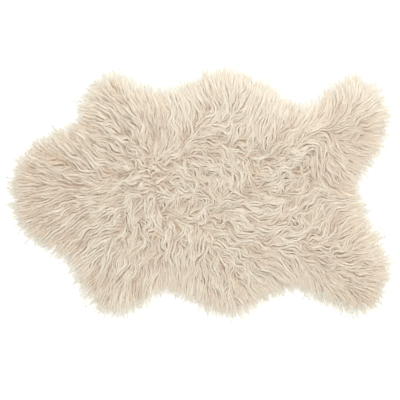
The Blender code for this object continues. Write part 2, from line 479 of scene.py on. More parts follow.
# Colours are linear shares of red, green and blue, with 1 for opaque.
WOOL_COLOURS = {
    # The root's darker colour is painted shade deep in the pile.
    "Root": (0.765, 0.6, 0.455, 1),
    "Dark": (0.825, 0.672, 0.525, 1),
    "Light": (0.99, 0.912, 0.765, 1),
    "Tip": (0.99, 0.94, 0.82, 1),
}
OWN_COLOURS = {
    # The deep piece's darker root and tip are painted shade deep in the pile.
    "deep": {"Root": (0.74, 0.56, 0.41, 1), "Tip": (0.88, 0.76, 0.62, 1)},
    # The rim's paler colours, near white at the tips, are partly the wool's own and partly painted light:
    # the blown-out glow of thin wisps.
    "rim": {
        "Root": (0.84, 0.77, 0.61, 1),
        "Dark": (0.88, 0.79, 0.62, 1),
        "Light": (0.96, 0.95, 0.85, 1),
        "Tip": (0.96, 0.97, 0.97, 1),
    },
}
WOOL_FINISH = {
    "Roughness": 0.6,
    "Specular IOR Level": 0.3,
    "Specular Tint": (1.0, 0.94, 0.84, 1),
    "Sheen Weight": 0.18,
    "Sheen Tint": (1.0, 0.92, 0.80, 1),
    "Sheen Roughness": 0.5,
}
CLOTH_FINISH = {"Roughness": 0.92, "Specular IOR Level": 0.2}
NAP_FINER = 14

# The dense wool close to the cloth, coloured darker as painted shade deep in the pile, and the cloth's
# back.
EDGE_ROUNDS = 4
EDGE_GAP = 0.6
SHARP = math.radians(60)
UNDER_INSET = 9 * MM
UNDER_PITCH = 9 * MM
UNDER_BOTTOM = 1.5 * MM
UNDER_RIM = 2 * MM
UNDER_RISE = (6 * MM, 26 * MM)
UNDER_SHARE = 0.74
UNDER_PAINTED_SHADE_COLOURS = ((0.76, 0.60, 0.45, 1), (0.90, 0.76, 0.61, 1))
UNDER_MOTTLE = 260
BACKING_INSET = 5 * MM
BACKING_PITCH = 14 * MM
BACKING_BOTTOM = 0.2 * MM
BACKING_TOP = 1.4 * MM
BACKING_COLOURS = ((0.58, 0.49, 0.38, 1), (0.68, 0.60, 0.48, 1))
BACKING_MOTTLE = 60

# The studio. The photo is PHOTO_PIXELS wide and high, the rug fills RUG_PIXELS of them in length,
# and the photo's middle lies AIM pixels from the rug's.
FLOOR_HALF = 6.0
WHITE = (1, 1, 1, 1)
FLOOR_FINISH = {
    "Base Color": (0.9, 0.9, 0.9, 1),
    "Roughness": 0.9,
    "Emission Color": WHITE,
    "Emission Strength": 0.7,
}
SKY = 0.84
KEY_PLACE = (0.7, 1.3, 2.5)
KEY_SIZE = 2.6
KEY_WATTS = 33
PHOTO_PIXELS = 400
RUG_PIXELS = 385
RUG_LENGTH = 0.9
AIM = (-0.5, -7.5)
CAMERA_HEIGHT = 4.0
SENSOR = 36


def blurred(chart, radius):
    """A chart blurred by a bell of the given radius, through its spectrum."""
    across = np.fft.rfftfreq(chart.shape[1], SQUARE)[None, :]
    down = np.fft.fftfreq(chart.shape[0], SQUARE)[:, None]
    bell = np.exp(-2 * (math.pi * radius) ** 2 * (across**2 + down**2))
    return np.fft.irfft2(np.fft.rfft2(chart) * bell, s=chart.shape)


def cloud(random, wave):
    """A chart of smooth noise, of spread 1, whose lumps repeat at about the given wave length.

    Its spectrum is a ring: exp(-((f w - 1) / r)^2 / 2), with f the frequency, w the wave length
    and r the ring's width.
    """
    noise = random.normal(size=(CHART_SIZE[1], CHART_SIZE[0]))
    across = np.fft.rfftfreq(noise.shape[1], SQUARE)[None, :]
    down = np.fft.fftfreq(noise.shape[0], SQUARE)[:, None]
    ring = np.exp(-(((np.hypot(across, down) * wave - 1) / RING_WIDTH) ** 2) / 2)
    noise = np.fft.irfft2(np.fft.rfft2(noise) * ring, s=noise.shape)
    return noise / noise.std()


def turned(vectors, angle):
    """Plan vectors turned anticlockwise by an angle each: (x cos - y sin, x sin + y cos)."""
    cos, sin = np.cos(angle), np.sin(angle)
    x, y = vectors[..., 0], vectors[..., 1]
    return np.stack([x * cos - y * sin, x * sin + y * cos], axis=-1)


def read(chart, places):
    """The chart's values at plan places, bilinear between its squares."""
    last = np.array(chart.shape[1::-1]) - 1
    at = (places - LOW_CORNER) / SQUARE * last / (CHART_SIZE - 1)
    at = np.clip(at, 0, last - 0.001)
    cell = at.astype(int)
    share = at - cell
    x, y = cell[..., 0], cell[..., 1]
    u, v = share[..., 0], share[..., 1]
    if chart.ndim == 3:
        u, v = u[..., None], v[..., None]
    near = chart[y, x] * (1 - u) + chart[y, x + 1] * u
    far = chart[y + 1, x] * (1 - u) + chart[y + 1, x + 1] * u
    return near * (1 - v) + far * v


def chart_places():
    """The plan place of each square of the chart."""
    x = LOW_CORNER[0] + np.arange(CHART_SIZE[0]) * SQUARE
    y = LOW_CORNER[1] + np.arange(CHART_SIZE[1]) * SQUARE
    return np.stack(np.meshgrid(x, y), axis=2)


def fleece_corners():
    """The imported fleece's triangles as corner points, an array of triangles, corners and axes."""
    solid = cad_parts["fleece"]
    mesh = solid.data
    mesh.calc_loop_triangles()
    points = np.empty(len(mesh.vertices) * 3, np.float32)
    mesh.vertices.foreach_get("co", points)
    index = np.empty(len(mesh.loop_triangles) * 3, np.int32)
    mesh.loop_triangles.foreach_get("vertices", index)
    turn = np.array(solid.matrix_world)
    points = points.reshape(-1, 3) @ turn[:3, :3].T + turn[:3, 3]
    return points[index].reshape(-1, 3, 3)


def cloth_edge(corners):
    """The loop where the rim locks grow from the cloth, anticlockwise.

    The fleece's wall stands there, so the loop is every plan place that has a point on the floor
    and one at the wall's top. From the leftmost, each place is followed by the nearest one left.
    """
    points = corners.reshape(-1, 3)
    plan = np.round(points[:, :2], 5)
    low = np.unique(plan[points[:, 2] < FLOOR_TOP], axis=0)
    high = np.unique(plan[points[:, 2] > WALL_TOP], axis=0)
    both, count = np.unique(np.vstack([low, high]), axis=0, return_counts=True)
    left = both[count == 2]
    order = [int(left[:, 0].argmin())]
    free = np.ones(len(left), bool)
    for _ in range(len(left) - 1):
        free[order[-1]] = False
        away = np.linalg.norm(left - left[order[-1]], axis=1)
        order.append(int(np.where(free, away, np.inf).argmin()))
    loop = left[order]
    after = np.roll(loop, -1, axis=0)
    area = (loop[:, 0] * after[:, 1] - after[:, 0] * loop[:, 1]).sum() / 2
    return loop if area > 0 else loop[::-1]


def depth_in(places, loop):
    """Distance from the loop to each place, positive inside it.

    It is the distance to the nearest edge, and a ray that crosses the loop an odd number of times
    starts inside it.
    """
    after = np.roll(loop, -1, axis=0)
    edge = after - loop
    depth = np.empty(len(places))
    for part in np.array_split(np.arange(len(places)), DEPTH_BATCHES):
        at = places[part][:, None]
        along = ((at - loop) * edge).sum(axis=2) / (edge**2).sum(axis=1)
        nearest = loop + np.clip(along, 0, 1)[..., None] * edge
        away = np.linalg.norm(at - nearest, axis=2).min(axis=1)
        x, y = at[..., 0], at[..., 1]
        spans = (loop[:, 1] > y) != (after[:, 1] > y)
        rise = np.where(edge[:, 1] == 0, 1, edge[:, 1])
        crossing = loop[:, 0] + (y - loop[:, 1]) / rise * edge[:, 0]
        inside = (spans & (x < crossing)).sum(axis=1) % 2 == 1
        depth[part] = np.where(inside, away, -away)
    return depth


def height_chart(corners):
    """The fleece's height over the plan: its triangles' highest point in each square."""
    cuts = HEIGHT_CUTS
    share = np.array([(i, j, cuts - i - j) for i in range(cuts + 1) for j in range(cuts + 1 - i)]) / cuts
    points = np.einsum("sc,tca->tsa", share, corners).reshape(-1, 3)
    cell = np.round((points[:, :2] - LOW_CORNER) / SQUARE).astype(int)
    chart = np.zeros((CHART_SIZE[1], CHART_SIZE[0]))
    np.maximum.at(chart, (cell[:, 1], cell[:, 0]), points[:, 2])
    return chart


def bell(places, x, y, radius):
    """A bell of height 1 over the plan, round a spot in millimetres: exp(-d^2 / (2 radius^2))."""
    away = ((places - np.array((x, y)) * MM) ** 2).sum(axis=-1)
    return np.exp(-away / (2 * radius**2))


def reach_chart(places, tips, depth):
    """How far the rim's locks reach past the cloth: the tips' own reach, weighted by nearness.

    It is some millimetres more at the left and near sides than at the right and far sides, and a
    bell at each of the listed places makes it more or less there.
    """
    total = np.full(places.shape[:2], 1e-9)
    reach = total * PLAIN_REACH
    for tip, own in zip(tips, depth):
        weight = np.exp(-((places - tip) ** 2).sum(axis=2) / (2 * TIP_RADIUS**2))
        total += weight
        reach -= weight * own
    reach = reach / total + MORE_REACH - places @ (SIDE_REACH / HALF_SIZE[0], SIDE_REACH / HALF_SIZE[1])
    for x, y, more in REACHES:
        reach += more * MM * bell(places, x, y, REACH_RADIUS)
    return reach


def hollow_chart(places):
    """How much of a hollow there is over the plan: the highest of the listed hollows' bells."""
    return np.max([bell(places, x, y, radius * MM) for x, y, radius in HOLLOWS], axis=0)


def calm_chart(places):
    """How calm the wool lies over the plan: the sum of the calm parts and the bell."""
    x, y = places[..., 0], places[..., 1]
    calm = 0
    for share, start_x, full_x, start_y, full_y in CALM_PARTS:
        across = smooth(start_y * MM, full_y * MM, y)
        calm = calm + share * smooth(start_x * MM, full_x * MM, x) * across
    share, *spot = CALM_BELL
    return calm + share * bell(places, *spot)


def heading_chart(places, depth, curly, random):
    """The wool's heading over the plan, as unit vectors.

    Each square takes the comb's rows, weighted by a bell round each and a low tail past it. At
    the rim it is drawn outwards. It is then turned by three clouds, which are strong where the
    wool curls and weak at the rim. The second is also weak where the wool lies calm.
    """
    heading = np.zeros(places.shape)
    for row_x, row_y, way in COMB:
        near = bell(places, row_x, row_y, COMB_RADIUS)
        away = ((places - np.array((row_x, row_y)) * MM) ** 2).sum(axis=2)
        near += COMB_TAIL / (1 + away / COMB_RADIUS**2) ** 2
        angle = math.radians(way)
        heading += near[..., None] * (math.cos(angle), math.sin(angle))
    heading /= np.linalg.norm(heading, axis=2, keepdims=True)

    slope_y, slope_x = np.gradient(blurred(depth, SLOPE_BLUR))
    out = -np.dstack([slope_x, slope_y])
    out /= np.linalg.norm(out, axis=2, keepdims=True) + 1e-9
    rim = np.exp(-np.clip(depth, 0, None) / RIM_DRAW_DEPTH)[..., None]
    heading = heading * (1 - RIM_DRAW * rim) + out * RIM_DRAW * rim

    middling = MIDDLING.plain * smooth(*MIDDLING_RISE, depth) + MIDDLING.curled * curly
    middling *= 1 - CALMING * calm_chart(places)
    degrees = (BROAD.plain + BROAD.curled * curly) * cloud(random, BROAD.wave)
    degrees += middling * cloud(random, MIDDLING.wave)
    degrees += (FINE.plain + FINE.curled * curly) * cloud(random, FINE.wave)
    heading = turned(heading, np.radians(degrees))
    return heading / np.linalg.norm(heading, axis=2, keepdims=True)


def lane_chart(heading, random):
    """The lanes' phase over the plan, as a complex wave: one turn across each lane.

    It starts as noise and is relaxed round by round. Each square takes the mean of its four
    neighbours, each turned by the phase that lies on the way from it: the step across the
    heading, divided by the lane's width, in turns. Lanes are wider at the upper left.
    """
    size = (CHART_SIZE - 1) * LANE_SQUARES + 1
    x, y = np.meshgrid(*(LOW_CORNER[i] + np.arange(size[i]) * SQUARE / LANE_SQUARES for i in (0, 1)))
    ahead = read(heading, np.dstack([x, y]))
    wide = smooth(*UPPER_LEFT.x, x) * smooth(*UPPER_LEFT.y, y)
    uneven = read(cloud(random, UNEVEN_LANES_WAVE), np.dstack([x, y]))
    width = LANE * (1 + WIDER_LANES * wide + UNEVEN_LANES * uneven)
    rate = 2 * math.pi * SQUARE / LANE_SQUARES / width
    rise = {0: rate * ahead[..., 0], 1: -rate * ahead[..., 1]}
    turns = []
    for axis in (0, 1):
        for way in (1, -1):
            between = (rise[axis] + np.roll(rise[axis], way, axis)) / 2
            turns.append((axis, way, np.exp(1j * way * between).astype(np.complex64)))
    wave = np.exp(2j * math.pi * random.random(x.shape)).astype(np.complex64)
    for _ in range(LANE_ROUNDS):
        wave = sum(np.roll(wave, way, axis) * turn for axis, way, turn in turns)
        wave /= np.abs(wave) + 1e-6
    return wave


def honeycomb(pitch, random):
    """Plan places in staggered rows over the chart, each moved by up to a third of the pitch."""
    high = LOW_CORNER + (CHART_SIZE - 1) * SQUARE
    x = np.arange(LOW_CORNER[0], high[0], pitch)
    y = np.arange(LOW_CORNER[1], high[1], pitch * math.sqrt(3) / 2)
    grid = np.stack(np.meshgrid(x, y), axis=2)
    grid[1::2, :, 0] += pitch / 2
    return grid.reshape(-1, 2) + pitch * random.uniform(-SCATTER, SCATTER, (grid.size // 2, 2))


def smooth(low, high, value):
    """0 at low and before it, 1 at high and past it, and an S-curve between."""
    share = np.clip((value - low) / (high - low), 0, 1)
    return share * share * (3 - 2 * share)


def traced(middle, turn, curl, length, chart):
    """Paths through the given middles, by equal steps along the heading both ways.

    A path is turned from the heading by turn s + curl s^2, with s the share of its length from
    the root.
    """
    path = np.empty((len(middle), PATH_STEPS + 1, 2))
    half = PATH_MIDDLE
    path[:, half] = middle
    for way in (1, -1):
        for step in range(PATH_STEPS - half if way == 1 else half):
            at = path[:, half + way * step]
            share = (half + way * (step + 0.5)) / PATH_STEPS
            ahead = turned(read(chart["heading"], at), turn * share + curl * share**2)
            ahead /= np.linalg.norm(ahead, axis=1, keepdims=True)
            path[:, half + way * (step + 1)] = at + way * ahead * (length / PATH_STEPS)[:, None]
    return path


def tuft_paths(chart, random):
    """The middle paths of the tufts, which the locks near them are drawn to."""
    middle = honeycomb(TUFT_PITCH * MM, random)
    middle = middle[read(chart["depth"], middle) > -TUFT_OUTER]
    still = np.zeros(len(middle))
    return traced(middle, still, still, still + TUFT_LENGTH * MM, chart)


def lock_paths(wool, chart, tufts, random):
    """The paths of a piece's locks: points in metres, an array of locks, steps and axes.

    A path follows the comb through its middle, drawn to the nearest tuft's path towards its tip.
    It is cut where it passes the reach of the rim's locks. Waves are then added across it, it is
    pulled sideways to the ridge of its lane, and its height is a share of the pile's there. The
    second result is how much each path lies on a ridge: 1 on it, -1 in a furrow.
    """
    middle = honeycomb(wool.pitch * MM, random)
    depth = read(chart["depth"], middle)
    middle = middle[(depth > wool.inner * MM) & (depth < wool.outer * MM)]
    count = len(middle)
    inward = read(chart["curly"], middle)
    turn = np.radians(wool.stray) * random.normal(size=count) * (RIM_STRAY + (1 - RIM_STRAY) * inward)
    curl = (PLAIN_CURL + INNER_CURL * inward) * random.normal(size=count)
    length = wool.length * MM * random.uniform(*LENGTHS, count)
    path = traced(middle, turn, curl, length, chart)

    share = np.linspace(0, 1, PATH_STEPS + 1)
    away = np.linalg.norm(middle[:, None] - tufts[None, :, PATH_MIDDLE], axis=2)
    draw = wool.draw * random.uniform(*DRAWS, (count, 1)) * smooth(0.25, 1, share)
    path += (tufts[away.argmin(axis=1)] - path) * draw[..., None]

    reach = random.uniform(wool.short, wool.long, count) + WISP_REACH * read(chart["wisp"], middle)
    past = read(chart["depth"], path) + read(chart["reach"], path) < -MM * reach[:, None]
    kept = np.where(past.any(axis=1), past.argmax(axis=1), PATH_STEPS) / PATH_STEPS
    path, length = along(path, share * kept[:, None]), length * kept

    ahead = np.gradient(path, axis=1)
    ahead /= np.linalg.norm(ahead, axis=2, keepdims=True) + 1e-12
    side = np.dstack([-ahead[..., 1], ahead[..., 0]])
    wave_length = WAVE_LENGTH * random.uniform(*WAVE_LENGTHS, (count, 1))
    phase = 2 * math.pi * share * length[:, None] / wave_length
    phase += random.uniform(0, 2 * math.pi, (count, 1))
    size = wool.wave * MM * random.uniform(*WAVE_SIZES, (count, 1))
    size = size * (RIM_WAVES + (1 - RIM_WAVES) * inward[:, None])
    path = path + side * (size * smooth(0, 0.3, share) * np.sin(phase))[..., None]
    crisp = read(chart["crisp"], path)
    pull = wool.gather * np.clip(crisp, 0, 1) * LANE / (2 * math.pi)
    path = path - side * (pull * np.sin(np.angle(read(chart["lane"], path))))[..., None]
    ridge = np.cos(np.angle(read(chart["lane"], path))) * crisp

    back = ROOT_LEVEL + (1 - ROOT_LEVEL) * smooth(0, 0.35, share) - TIP_DROOP * smooth(0.7, 1, share)
    level = wool.level * random.uniform(*LEVELS, (count, 1))
    height = read(chart["height"], path) * level * back
    height += WAVE_RISE * size * np.cos(phase) * smooth(0, 0.2, share) * (1 - smooth(0.8, 1, share))
    height += LANE_RISE * wool.gather * ridge * smooth(0.1, 0.5, share)
    return np.dstack([path, height]), (ridge * share).sum(axis=1) / share.sum()


def along(path, share):
    """Points of each path at its own shares of the way, linear between the path's steps."""
    at = np.clip(share, 0, 1) * PATH_STEPS
    step = np.minimum(at.astype(int), PATH_STEPS - 1)
    part = (at - step)[..., None]
    row = np.arange(len(path))[:, None]
    return path[row, step] * (1 - part) + path[row, step + 1] * part


def strand_lines(wool, path, random):
    """The middle lines of a piece's strands: an array of strands, sections and axes.

    A lock's strands lie side by side on a low dome across its path. Its width swells from the
    root and draws in to the tip, and its strands end at uneven lengths.
    """
    count = len(path) * wool.strands
    lock = np.repeat(path, wool.strands, axis=0)
    spot = np.tile(np.linspace(-1, 1, wool.strands) if wool.strands > 1 else np.zeros(1), len(path))
    spot = spot + random.uniform(-STRAND_SHIFT, STRAND_SHIFT, count)
    share = np.linspace(0, 1, wool.sections + 1) * random.uniform(*STRAND_LENGTHS, (count, 1))
    line = along(lock, share)
    ahead = along(np.gradient(lock, axis=1), share)
    ahead /= np.linalg.norm(ahead[..., :2], axis=2, keepdims=True) + 1e-12
    side = np.dstack([-ahead[..., 1], ahead[..., 0], np.zeros(share.shape)])

    swell = ROOT_WIDTH + SWELL * smooth(0, 0.3, share)
    swell *= 1 - wool.point * smooth(0.35, 1.0, share)
    across = spot[:, None] * swell * wool.width * MM / 2
    dome = (1 - spot**2)[:, None] * swell * wool.thickness * MM
    ripple = share * random.uniform(*RIPPLE_TURNS, (count, 1)) + random.uniform(*RIPPLE_STARTS, (count, 1))
    ripple = RIPPLE * np.sin(ripple) * (wool.strands > 1)
    line = line + side * (across + ripple)[..., None]
    line[..., 2] += dome
    return line, share


def tubes(line, radius):
    """Points of three-sided tubes and their normals: strands, points and axes.

    Every section is a triangle square to the strand's way with a side on top, and the last point
    is the tip. Each normal leans from the tube's own way out towards straight up, because light
    goes through wool and reaches its sides too.
    """
    ahead = np.gradient(line, axis=1)
    ahead /= np.linalg.norm(ahead, axis=2, keepdims=True) + 1e-12
    side = np.cross(ahead, (0.0, 0.0, 1.0))
    side /= np.linalg.norm(side, axis=2, keepdims=True) + 1e-12
    up = np.cross(side, ahead)
    turn = math.pi / 6 + 2 * math.pi / 3 * np.arange(3)
    ring = side[:, :-1, None] * np.cos(turn)[:, None] + up[:, :-1, None] * np.sin(turn)[:, None]
    corners = line[:, :-1, None] + ring * radius[:, :-1, None, None]
    corners[..., 2] = np.maximum(corners[..., 2], FLOOR_CLEARANCE)
    tip = line[:, -1:].copy()
    tip[..., 2] = np.maximum(tip[..., 2], FLOOR_CLEARANCE)
    points = np.concatenate([corners.reshape(len(line), -1, 3), tip], axis=1)
    normals = np.concatenate([ring.reshape(len(line), -1, 3), ahead[:, -1:]], axis=1)
    normals = normals * (1 - NORMAL_LEAN) + np.array((0, 0, NORMAL_LEAN))
    return points, normals / np.linalg.norm(normals, axis=2, keepdims=True)


def tube_faces(sections):
    """One tube's faces: corner numbers with, for each, its share round the tube and along it."""
    faces = [[(0, 0, 0), (1, 1 / 3, 0), (2, 2 / 3, 0)]]
    for section in range(sections - 1):
        for side in range(3):
            low = section * 3
            after = (side + 1) % 3
            v, w = section / sections, (section + 1) / sections
            u, x = side / 3, (side + 1) / 3
            high = low + 3
            lower = [(low + after, x, v), (low + side, u, v)]
            faces.append([*lower, (high + side, u, w), (high + after, x, w)])
    last, point = (sections - 1) * 3, sections * 3
    v = (sections - 1) / sections
    for side in range(3):
        u, x = side / 3, (side + 1) / 3
        faces.append([(last + (side + 1) % 3, x, v), (last + side, u, v), (point, (u + x) / 2, 1.0)])
    return faces


def placed(name, data):
    """A new object of the given mesh, light or camera, in the scene."""
    thing = bpy.data.objects.new(name, data)
    bpy.context.collection.objects.link(thing)
    return thing


def joined_tubes(name, line, radius, cell):
    """One mesh of all the tubes. Its map puts each strand's faces on the square of its tone."""
    sections = line.shape[1] - 1
    points, normals = tubes(line, radius)
    faces = tube_faces(sections)
    corner = np.array([entry for face in faces for entry in face])
    sizes = np.array([len(face) for face in faces])
    strands, per_tube = len(points), points.shape[1]

    index = corner[:, 0].astype(int) + per_tube * np.arange(strands)[:, None]
    total = np.tile(sizes, strands)
    mesh = bpy.data.meshes.new(name)
    mesh.vertices.add(strands * per_tube)
    mesh.vertices.foreach_set("co", points.astype(np.float32).ravel())
    mesh.loops.add(index.size)
    mesh.loops.foreach_set("vertex_index", index.astype(np.int32).ravel())
    mesh.polygons.add(len(total))
    mesh.polygons.foreach_set("loop_start", (np.cumsum(total) - total).astype(np.int32))
    mesh.polygons.foreach_set("loop_total", total.astype(np.int32))
    mesh.update(calc_edges=True)

    inset = CELL_EDGE + (1 - 2 * CELL_EDGE) * corner[:, 1:]
    places = (cell[:, None, :] + inset[None]) / TONES
    for layer in ("strand", "OFBake"):
        mesh.uv_layers.new(name=layer).data.foreach_set("uv", places.astype(np.float32).ravel())
    mesh.shade_smooth()
    mesh.normals_split_custom_set_from_vertices(normals.reshape(-1, 3))
    return placed(name, mesh)


def build_wool(wool, chart, tufts, random):
    """A piece of wool: its locks' paths, their strands and the tubes round these.

    A strand's tone follows the tone chart, which holds painted light and shade, is raised on a
    ridge and lowered in a furrow as painted light and shade, and varies by lock and by strand.
    """
    path, ridge = lock_paths(wool, chart, tufts, random)
    line, share = strand_lines(wool, path, random)
    count = len(line)
    radius = wool.radius * MM * random.uniform(*STRAND_RADII, (count, 1))
    radius = radius * (ROOT_RADIUS + (1 - ROOT_RADIUS) * smooth(0, 0.3, share))
    radius = radius * (1 - TIP_NARROWING * smooth(0.5, 1.0, share))
    middle = line[:, line.shape[1] // 2, :2]
    tone = MIDDLE_TONE + CHART_TONE * read(chart["tone"], middle)
    # Strands on a lane's ridge are lighter and in a furrow darker: painted light and shade.
    tone += np.repeat(LOCK_TONE * random.normal(size=len(path)) + RIDGE_PAINTED_LIGHT_AND_SHADE * ridge, wool.strands)
    tone += STRAND_TONE * random.normal(size=count)
    tone = wool.dark + (wool.light - wool.dark) * np.clip(tone, 0, 1)
    cell = np.column_stack([(tone * (TONES - 1)).astype(int), random.integers(0, TONES, count)])
    return joined_tubes("wool_" + wool.kind, line, radius, cell)


def triangulated(edge, grid):
    """Triangles over the edge loop and the places inside it, as rows of point numbers."""
    plan = np.vstack([edge, grid])
    found = delaunay_2d_cdt([tuple(p) for p in plan], [], [list(range(len(edge)))], 1, 1e-7)
    source = [entry[0] for entry in found[3]]
    return plan, np.array([[source[i] for i in face] for face in found[2]])


def inset_loop(loop, distance):
    """The loop moved inwards along its smoothed normals."""
    ahead = np.roll(loop, -1, axis=0) - np.roll(loop, 1, axis=0)
    ahead /= np.linalg.norm(ahead, axis=1, keepdims=True)
    moved = loop - distance * np.column_stack([ahead[:, 1], -ahead[:, 0]])
    for _ in range(EDGE_ROUNDS):
        moved = 0.5 * moved + 0.25 * (np.roll(moved, 1, axis=0) + np.roll(moved, -1, axis=0))
    return moved


def slab(name, loop, pitch, random, bottom, top):
    """A closed slab over the loop's inside: a flat bottom, a wall, and a top at a given height."""
    grid = honeycomb(pitch, random)
    grid = grid[depth_in(grid, loop) > EDGE_GAP * pitch]
    plan, faces = triangulated(loop, grid)
    rim = len(loop)
    count = len(plan)
    high = np.column_stack([plan, top(plan)])
    low = np.column_stack([plan, np.full(count, bottom)])
    ring = np.arange(rim)
    after = np.roll(ring, -1)
    walls = np.column_stack([ring + count, after + count, after, ring])
    mesh = bpy.data.meshes.new(name)
    rows = [*faces.tolist(), *(faces[:, ::-1] + count).tolist(), *walls.tolist()]
    mesh.from_pydata(np.vstack([high, low]).tolist(), [], rows)
    corner = np.empty(len(mesh.loops), np.int32)
    mesh.loops.foreach_get("vertex_index", corner)
    low_corner, high_corner = np.array(CAD_BOX[0][:2]), np.array(CAD_BOX[1][:2])
    flat = (plan[corner % count] - low_corner) / (high_corner - low_corner)
    mesh.uv_layers.new(name="OFBake").data.foreach_set("uv", flat.astype(np.float32).ravel())
    mesh.shade_smooth()
    mesh.set_sharp_from_angle(angle=SHARP)
    return placed(name, mesh)


def feed(tree, socket, value):
    """Links a socket's value to an input, or sets a plain value on it."""
    if isinstance(value, bpy.types.NodeSocket):
        tree.links.new(value, socket)
    else:
        socket.default_value = value


def linked(tree, kind, **values):
    """A node with its settings and its inputs, both given by name."""
    node = tree.nodes.new(kind)
    for name, value in values.items():
        if hasattr(node, name):
            setattr(node, name, value)
        else:
            feed(tree, node.inputs[name.replace("_", " ")], value)
    return node


def maths(tree, operation, *values):
    """The result of a Math node."""
    node = linked(tree, "ShaderNodeMath", operation=operation)
    for socket, value in zip(node.inputs, values):
        feed(tree, socket, value)
    return node.outputs[0]


def mixed(tree, share, first, second):
    """The colour between two, by a share."""
    node = linked(tree, "ShaderNodeMix", data_type="RGBA")
    for number, value in ((0, share), (6, first), (7, second)):
        feed(tree, node.inputs[number], value)
    return node.outputs[2]


def noise(tree, place, scale, **settings):
    """A noise texture's value at a place."""
    return linked(tree, "ShaderNodeTexNoise", Vector=place, Scale=scale, **settings).outputs[0]


def ramped(tree, value, **ends):
    """A value from 0 to 1 along a smooth step, between the ends given."""
    node = linked(tree, "ShaderNodeMapRange", interpolation_type="SMOOTHSTEP", Value=value, **ends)
    return node.outputs[0]


def strand_group():
    """Colour and height of a wool strand, from its place in the strand map.

    The map's square gives the strand's tone and its own streaks. The colour goes from the root's
    darker colour, painted shade deep in the pile, which is paler on a light strand, to the
    strand's tone and lightens at the tip. Fine streaks run along the strand.
    """
    group = bpy.data.node_groups.new("strand of wool", "ShaderNodeTree")
    face = group.interface
    face.new_socket(name="Place", in_out="INPUT", socket_type="NodeSocketVector")
    for name, colour in WOOL_COLOURS.items():
        face.new_socket(name=name, in_out="INPUT", socket_type="NodeSocketColor").default_value = colour
    face.new_socket(name="Streaks", in_out="INPUT", socket_type="NodeSocketFloat").default_value = STREAKS
    face.new_socket(name="Colour", in_out="OUTPUT", socket_type="NodeSocketColor")
    face.new_socket(name="Height", in_out="OUTPUT", socket_type="NodeSocketFloat")
    given = group.nodes.new("NodeGroupInput").outputs
    made = group.nodes.new("NodeGroupOutput").inputs

    place = linked(group, "ShaderNodeSeparateXYZ", Vector=given["Place"]).outputs
    across = maths(group, "MULTIPLY", place[0], TONES)
    up = maths(group, "MULTIPLY", place[1], TONES)
    tone = maths(group, "DIVIDE", maths(group, "FLOOR", across), TONES - 1)
    kind = maths(group, "FLOOR", up)
    way = maths(group, "FRACT", up)
    turn = maths(group, "MULTIPLY", maths(group, "FRACT", across), 2 * math.pi)
    along_strand = maths(group, "MULTIPLY", way, STREAK_ALONG)
    spot = linked(
        group,
        "ShaderNodeCombineXYZ",
        X=maths(group, "MULTIPLY", maths(group, "COSINE", turn), STREAK_ROUND),
        Y=maths(group, "MULTIPLY", maths(group, "SINE", turn), STREAK_ROUND),
        Z=maths(group, "ADD", along_strand, maths(group, "MULTIPLY", kind, STREAK_APART)),
    )
    streak = noise(group, spot.outputs[0], 1.0, Detail=3.0, Roughness=0.6)

    body = mixed(group, tone, given["Dark"], given["Light"])
    # The root's darker colour is painted shade deep in the pile.
    root = mixed(group, maths(group, "MULTIPLY", tone, PALER_ROOT), given["Root"], given["Dark"])
    body = mixed(group, ramped(group, way, From_Max=ROOT_END), root, body)
    to_tip = maths(group, "MULTIPLY", ramped(group, way, From_Min=TIP_START), TIP_SHARE)
    body = mixed(group, to_tip, body, given["Tip"])
    swing = maths(group, "MULTIPLY", maths(group, "SUBTRACT", streak, 0.5), given["Streaks"])
    value = maths(group, "ADD", 1.0, maths(group, "MULTIPLY", swing, 2.0))
    bright = linked(group, "ShaderNodeHueSaturation", Color=body, Value=value)
    group.links.new(bright.outputs[0], made["Colour"])
    group.links.new(streak, made["Height"])
    return group


def finished_material(name, finish):
    """A new material, its node tree and its shader, whose own sockets take the finish."""
    material = bpy.data.materials.new(name)
    material.use_nodes = True
    shader = material.node_tree.nodes["Principled BSDF"]
    for socket, value in finish.items():
        shader.inputs[socket].default_value = value
    return material, material.node_tree, shader


def wool_material(name, group, own_colours):
    """Rough, faintly glossy wool with the strand group's streaks and the piece's own colours."""
    material, tree, shader = finished_material(name, WOOL_FINISH)
    place = linked(tree, "ShaderNodeUVMap", uv_map="strand").outputs[0]
    strand = linked(tree, "ShaderNodeGroup", node_tree=group)
    tree.links.new(place, strand.inputs["Place"])
    for socket, colour in own_colours.items():
        strand.inputs[socket].default_value = colour
    bump = linked(tree, "ShaderNodeBump", Strength=0.35, Distance=0.0003, Height=strand.outputs["Height"])
    tree.links.new(strand.outputs["Colour"], shader.inputs["Base Color"])
    tree.links.new(bump.outputs[0], shader.inputs["Normal"])
    return material


def cloth_material(name, colours, scale):
    """Matt cloth with a mottled colour and a fine nap."""
    material, tree, shader = finished_material(name, CLOTH_FINISH)
    place = tree.nodes.new("ShaderNodeTexCoord").outputs["Object"]
    mottle = noise(tree, place, scale, Detail=5.0, Roughness=0.65)
    nap = noise(tree, place, scale * NAP_FINER, Detail=3.0)
    tree.links.new(mixed(tree, mottle, *colours), shader.inputs["Base Color"])
    bump = linked(tree, "ShaderNodeBump", Strength=0.4, Distance=0.0006, Height=nap)
    tree.links.new(bump.outputs[0], shader.inputs["Normal"])
    return material


